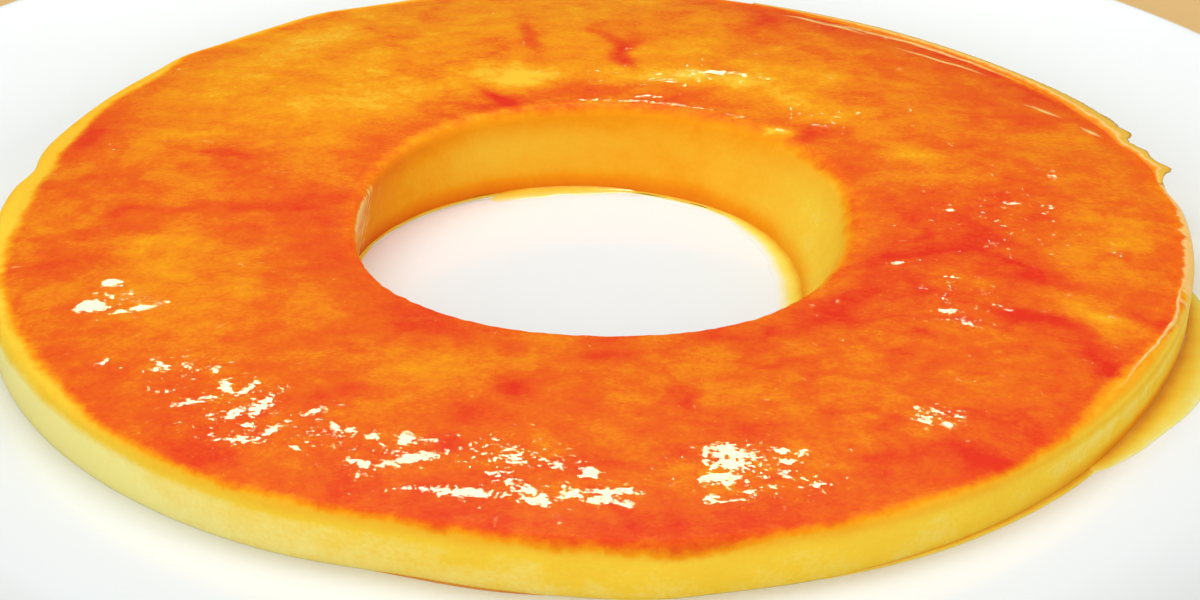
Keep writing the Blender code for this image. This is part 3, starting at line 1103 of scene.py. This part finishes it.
class FLAN_OT_skin(bpy.types.Operator):
    """Makes the torn skin of caramel that sticks out over the ring's edge on the right"""

    bl_idname = "flan.skin"
    bl_label = "Torn skin"

    def execute(self, context):
        s = context.scene.flan_custard
        well = context.scene.flan_plate.well_height
        shape = bmesh.new()
        bmesh.ops.create_grid(shape, x_segments=SKIN_STEPS, y_segments=10, size=1.0)
        layer = shape.verts.layers.float.new("out")
        for vertex in shape.verts:
            degrees = blend(SKIN_START, SKIN_END, (vertex.co.x + 1.0) / 2.0)
            out = (vertex.co.y + 1.0) / 2.0
            reach = -0.3 * MM
            for at, half_width, tip in SKIN_TIPS:
                reach += tip * hump(turn_between(degrees, at) / half_width)
            reach += 0.4 * MM * noise.noise(Vector((degrees * 1.9, 3.0, 0.0)))
            ends = smooth(0.0, 2.0, degrees - SKIN_START) * smooth(0.0, 18.0, SKIN_END - degrees)
            root = SKIN_ROOT + 1.8 * MM * hump(turn_between(degrees, 27.0) / 7.0)
            past = blend(-root, blend(-0.5 * root, reach, ends), out)
            radius = s.outer_radius + past
            turned = math.radians(degrees)
            flat = Vector((radius * math.cos(turned), radius * math.sin(turned), 0.0))
            edge = settle(s, Vector((flat.x, flat.y, crown(s, radius))))
            lift = blend(-0.30 * MM, 0.10 * MM, ends * smooth(0.0, 0.45, out))
            droop = 0.10 * max(0.0, past + 1.0 * MM)
            vertex.co = edge.point + Vector((s.centre_x, s.centre_y, well + 0.02 * MM + lift - droop))
            vertex[layer] = out
        bmesh.ops.recalc_face_normals(shape, faces=shape.faces)
        bmesh.ops.solidify(shape, geom=list(shape.faces), thickness=0.35 * MM)
        bmesh.ops.recalc_face_normals(shape, faces=shape.faces)
        add_piece(shape, "torn_skin", skin_material(s))
        return {"FINISHED"}


# ---------------------------------------------------------------------------------------------------------
# Sauce
# ---------------------------------------------------------------------------------------------------------

# Pools of caramel sauce at the custard's foot, and one thin dark line of painted shadow at its front-left
# foot: (name, outside, middle angle, half length in degrees, width, skew, film's height, depth at the edge,
# depth at the foot)
SAUCE_POOLS = (
    ("sauce_right", True, -20.0, 20.5, 7.8 * MM, 0.0, 0.35 * MM, 0.24, 1.00),
    ("sauce_front", True, -50.0, 20.0, 1.2 * MM, 0.3, 0.20 * MM, 0.45, 1.00),
    # A thin dark line of the deepest sauce colour at the front-left foot: painted shadow, not a pool.
    ("painted_shadow_left", True, -101.5, 8.0, 0.30 * MM, 0.0, 0.20 * MM, 0.95, 1.00),
    ("sauce_hole_back", False, 91.0, 21.0, 3.6 * MM, 0.4, 0.15 * MM, 0.20, 0.80),
    ("sauce_hole_right", False, 8.0, 52.0, 5.0 * MM, -0.2, 0.12 * MM, 0.0, 0.78),
    ("sauce_hole_foot", False, 40.0, 160.0, 1.6 * MM, 0.0, 0.10 * MM, 0.0, 0.78),
    ("sauce_hole_left", False, 165.0, 30.0, 1.1 * MM, 0.2, 0.10 * MM, 0.40, 1.00),
)
SAUCE_TUCK = 1.0 * MM


def foot_at(s, outside, degrees):
    """A point of the custard's foot, in the ring's own coordinates."""
    radius = s.outer_radius if outside else s.hole_radius
    turned = math.radians(degrees)
    return settle(s, Vector((radius * math.cos(turned), radius * math.sin(turned), s.foot_rounding))).point


def sauce_pool(context, outside, middle, half_turn, width, skew, film, at_edge, at_foot):
    """A thin pool that lies along the custard's foot and climbs it a little."""
    s = context.scene.flan_custard
    sauce = context.scene.flan_sauce
    well = context.scene.flan_plate.well_height
    full_climb = sauce.climb * min(1.0, width / (3 * MM)) * (1.0 if outside else 0.5)
    shape = bmesh.new()
    bmesh.ops.create_uvsphere(shape, u_segments=120, v_segments=32, radius=1.0)
    depth = shape.verts.layers.float.new("depth")
    for vertex in shape.verts:
        u, v, top = vertex.co
        half = math.sqrt(max(1e-6, 1.0 - u * u))
        share = min(1.0, max(0.0, (v / half + 1.0) / 2.0))
        degrees = middle + half_turn * u
        foot = foot_at(s, outside, degrees)
        inward = Vector((foot.x, foot.y, 0.0)).normalized() * (1.0 if outside else -1.0)
        wobble = 1.0 + 0.18 * noise.noise(Vector((degrees * 0.12, width * 1000.0, 0.5)))
        reach = width * wobble * max(0.02, 1.0 - abs(u - skew) ** 2 / (1.0 + abs(skew)) ** 2)
        along = blend(-SAUCE_TUCK, reach, share)
        spot = Vector((foot.x, foot.y, 0.0)) + inward * along
        climb = full_climb * max(0.0, 1.0 - max(0.0, along) / (1.8 * MM)) ** 3 * half
        sink = 0.10 * MM * smooth(0.5, 0.0, half)
        height = (film + climb) * smooth(0.0, 0.7, top) - sink
        vertex.co = spot + Vector((s.centre_x, s.centre_y, well + 0.03 * MM + height))
        fall = (max(0.0, along) / max(reach, 1e-6)) ** 0.6
        vertex[depth] = blend(at_foot, at_edge, fall) * blend(0.35, 1.0, smooth(0.0, 0.7, half))
    bmesh.ops.recalc_face_normals(shape, faces=shape.faces)
    return shape


def sauce_material(s):
    """Caramel sauce: clear where it is thin, amber where it is deep, and glassy all over."""
    bench = NodeBench("caramel_sauce")
    even = bench.coordinates((1.0, 1.0, 1.0))
    depth = bench.attribute("depth")
    cloud = bench.spread(bench.noise(even, 260.0, detail=3.0), -0.05, 0.05)
    shade = bench.ramp(
        bench.maths("ADD", depth, bench.maths("MULTIPLY", cloud, bench.fade(depth, 0.0, 0.3)), clamp=True),
        (
            (0.0, tuple(s.clear)),
            (0.30, tuple(s.thin)),
            (0.52, tuple(s.middling)),
            (0.80, tuple(s.full)),
            (1.0, tuple(s.deepest)),
        ),
    )
    bench.set(Base_Color=shade, Metallic=0.0, IOR=1.45, Specular_IOR_Level=0.3)
    bench.set(Roughness=bench.spread(bench.noise(even, 600.0), 0.12, 0.22))
    bench.set(Normal=bench.bump(bench.noise(even, 260.0), 0.3, 0.08 * MM))
    bench.set(Coat_Weight=bench.fade(depth, 0.0, 0.3, 0.0, 0.7), Coat_Roughness=0.04, Coat_IOR=1.4)
    return bench.material


class FLAN_OT_sauce(bpy.types.Operator):
    """Makes the pools of caramel sauce round the custard's foot and in its hole, and a thin line of painted
    shadow at its front-left foot
    """

    bl_idname = "flan.sauce"
    bl_label = "Sauce"

    def execute(self, context):
        material = sauce_material(context.scene.flan_sauce)
        for name, *measures in SAUCE_POOLS:
            add_piece(sauce_pool(context, *measures), name, material, smooth_angle=40.0)
        return {"FINISHED"}


# ---------------------------------------------------------------------------------------------------------
# Stage
# ---------------------------------------------------------------------------------------------------------


def add_soft_light(name, place, target, width, depth, power, tint=(1.0, 1.0, 1.0)):
    light = bpy.data.lights.new(name, "AREA")
    light.shape = "RECTANGLE"
    light.size = width
    light.size_y = depth
    light.energy = power
    light.color = tint
    lamp = bpy.data.objects.new(name, light)
    lamp.location = place
    lamp.rotation_euler = (Vector(target) - Vector(place)).to_track_quat("-Z", "Y").to_euler()
    bpy.context.scene.collection.objects.link(lamp)
    return lamp


def sky(azimuth, elevation, distance):
    """A place seen from the ring at an azimuth, 0 for straight behind it, and an elevation in degrees."""
    a, e = math.radians(azimuth), math.radians(elevation)
    return Vector((math.sin(a) * math.cos(e), math.cos(a) * math.cos(e), math.sin(e))) * distance


WINDOW = Vector((0.0, 0.84, 1.51))
WINDOW_WIDTH = 0.9
WINDOW_HEIGHT = 0.40
WINDOW_TINT = (1.0, 0.95, 0.78)


def room_world(s):
    """A dim room, brighter on the eater's side than behind."""
    world = bpy.data.worlds.new("dim_room")
    world.use_nodes = True
    tree = world.node_tree
    apart = tree.nodes.new("ShaderNodeSeparateXYZ")
    tree.links.new(tree.nodes.new("ShaderNodeTexCoord").outputs["Generated"], apart.inputs[0])
    strength = tree.nodes.new("ShaderNodeMapRange")
    strength.interpolation_type = "SMOOTHSTEP"
    strength.inputs["From Min"].default_value = 0.0
    strength.inputs["From Max"].default_value = 0.75
    strength.inputs["To Min"].default_value = s.room
    strength.inputs["To Max"].default_value = s.shade
    tree.links.new(apart.outputs["Y"], strength.inputs["Value"])
    background = tree.nodes["Background"]
    background.inputs["Color"].default_value = (0.93, 0.96, 1.0, 1.0)
    tree.links.new(strength.outputs["Result"], background.inputs["Strength"])
    return world


class FLAN_OT_stage(bpy.types.Operator):
    """Makes the floor, the soft lights, the world and the camera"""

    bl_idname = "flan.stage"
    bl_label = "Stage"

    def execute(self, context):
        scene = context.scene
        s = scene.flan_stage
        custard = scene.flan_custard
        ring = Vector((custard.centre_x, custard.centre_y, scene.flan_plate.well_height))
        shape = bmesh.new()
        bmesh.ops.create_grid(shape, x_segments=1, y_segments=1, size=s.floor_size / 2.0)
        mesh = bpy.data.meshes.new("floor")
        shape.to_mesh(mesh)
        shape.free()
        bench = NodeBench("pale_floor")
        tone = bench.spread(bench.noise(bench.coordinates((1.0, 1.0, 1.0)), 6.0), 0.97, 1.0)
        shade = bench.ramp(tone, ((0.0, (0.0, 0.0, 0.0)), (1.0, tuple(s.floor))))
        bench.set(Base_Color=shade, Roughness=0.6)
        mesh.materials.append(bench.material)
        floor = bpy.data.objects.new("floor", mesh)
        scene.collection.objects.link(floor)

        above = add_soft_light("soft_above", ring + Vector((0.0, 0.32, 1.15)), ring, 1.7, 0.8, s.soft_power)
        front = add_soft_light("soft_front", ring + sky(183.0, 27.0, 1.3), ring, 2.4, 0.5, s.fill_power)
        above.visible_glossy = False
        front.visible_glossy = False
        size = (WINDOW_WIDTH, WINDOW_HEIGHT)
        window = add_soft_light("window", ring + WINDOW, ring, *size, s.window_power, WINDOW_TINT)
        window.visible_diffuse = False
        scene.world = room_world(s)

        elevation = s.camera_elevation
        camera = bpy.data.cameras.new("camera")
        camera.sensor_width = 36.0
        camera.lens = s.lens
        camera.clip_start = 0.01
        camera.clip_end = 50.0
        view = bpy.data.objects.new("camera", camera)
        reach = s.camera_distance
        view.location = ring + Vector((0.0, -reach * math.cos(elevation), reach * math.sin(elevation)))
        target = ring + Vector((2.4 * MM, -5.4 * MM, 0.0))
        view.rotation_euler = (target - view.location).to_track_quat("-Z", "Y").to_euler()
        scene.collection.objects.link(view)
        scene.camera = view
        scene.view_settings.view_transform = "Standard"
        scene.view_settings.look = "None"
        return {"FINISHED"}


# ---------------------------------------------------------------------------------------------------------
# Sidebar and run
# ---------------------------------------------------------------------------------------------------------

OPERATORS = (FLAN_OT_stage, FLAN_OT_plate, FLAN_OT_custard, FLAN_OT_skin, FLAN_OT_sauce)
SETTINGS = (
    ("flan_plate", PlateSettings),
    ("flan_custard", CustardSettings),
    ("flan_sauce", SauceSettings),
    ("flan_stage", StageSettings),
)


class FLAN_PT_panel(bpy.types.Panel):
    """Lists the flan's pieces and their settings"""

    bl_idname = "FLAN_PT_panel"
    bl_label = "Leche flan"
    bl_space_type = "VIEW_3D"
    bl_region_type = "UI"
    bl_category = "Flan"

    def draw(self, context):
        for operator in OPERATORS:
            self.layout.operator(operator.bl_idname)
        for name, group in SETTINGS:
            box = self.layout.box()
            box.label(text=name.replace("_", " ").capitalize())
            for key in group.__annotations__:
                box.prop(getattr(context.scene, name), key)


def register():
    for name, group in SETTINGS:
        bpy.utils.register_class(group)
        setattr(bpy.types.Scene, name, PointerProperty(type=group))
    for cls in (*OPERATORS, FLAN_PT_panel):
        bpy.utils.register_class(cls)


def unregister():
    for cls in (FLAN_PT_panel, *reversed(OPERATORS)):
        bpy.utils.unregister_class(cls)
    for name, group in reversed(SETTINGS):
        delattr(bpy.types.Scene, name)
        bpy.utils.unregister_class(group)


def main():
    register()
    bpy.ops.flan.stage()
    bpy.ops.flan.plate()
    bpy.ops.flan.custard()
    bpy.ops.flan.skin()
    bpy.ops.flan.sauce()


if __name__ == "__main__":
    main()
